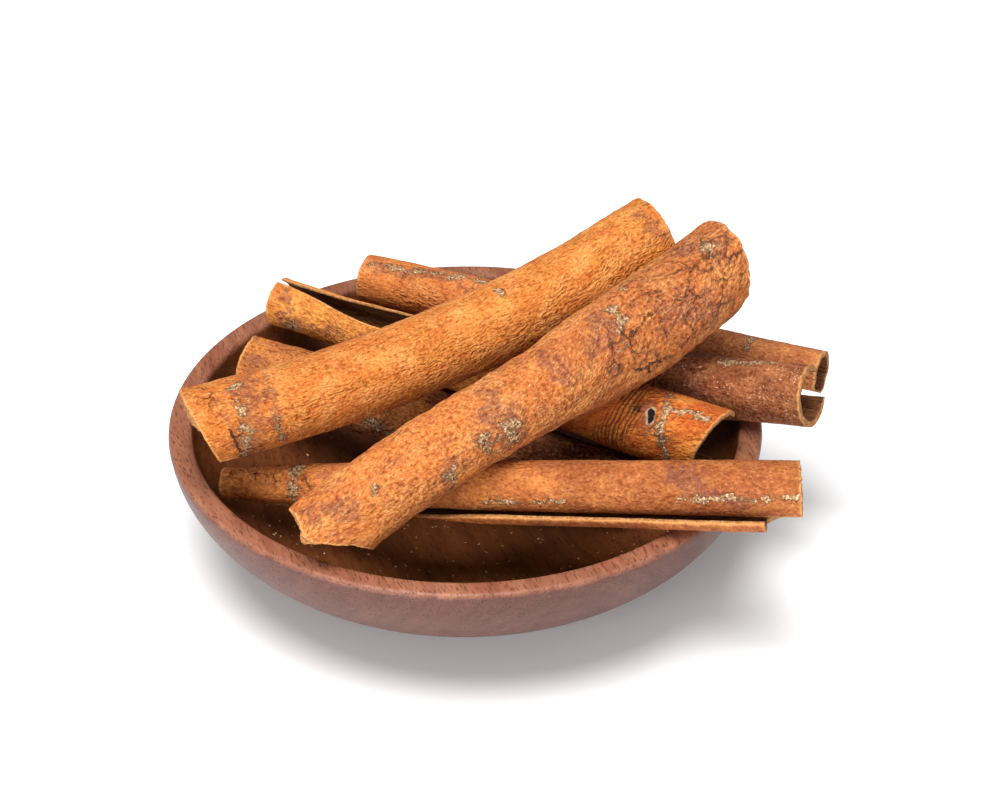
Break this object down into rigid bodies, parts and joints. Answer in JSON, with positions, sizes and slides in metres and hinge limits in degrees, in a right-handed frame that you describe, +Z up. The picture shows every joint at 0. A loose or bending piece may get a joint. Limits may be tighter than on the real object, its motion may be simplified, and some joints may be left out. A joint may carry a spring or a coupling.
{
  "type": "stack of cinnamon sticks",
  "caption": "Loose stack of rolled cinnamon bark quills lying across each other in a shallow round wooden bowl.",
  "frame": {"origin": "centre of the bowl's flat foot, on the surface it stands on", "axes": "+Z up out of the bowl's mouth, +X to the right as one faces the low front side, +Y away towards the back"},
  "size_m": [0.123, 0.11, 0.0627],
  "materials": {
    "bowl_wood": "reddish brown turned wood, thinly oiled, satin",
    "bark_golden": "golden orange bark, matt, fine lengthwise fibres",
    "bark_orange": "orange brown bark, matt, mottled, cracked",
    "bark_brown": "brown bark, matt, pale specks",
    "bark_rust": "rust orange bark, matt, grey scars"
  },
  "bodies": {
    "root": {"bowl": "bowl_wood", "quill_top_back": "bark_golden", "quill_top_front": "bark_orange", "quill_front": "bark_orange", "quill_far_back": "bark_orange", "quill_right": "bark_brown", "quill_split": "bark_rust", "quill_knobby": "bark_brown"}
  },
  "joints": []
}
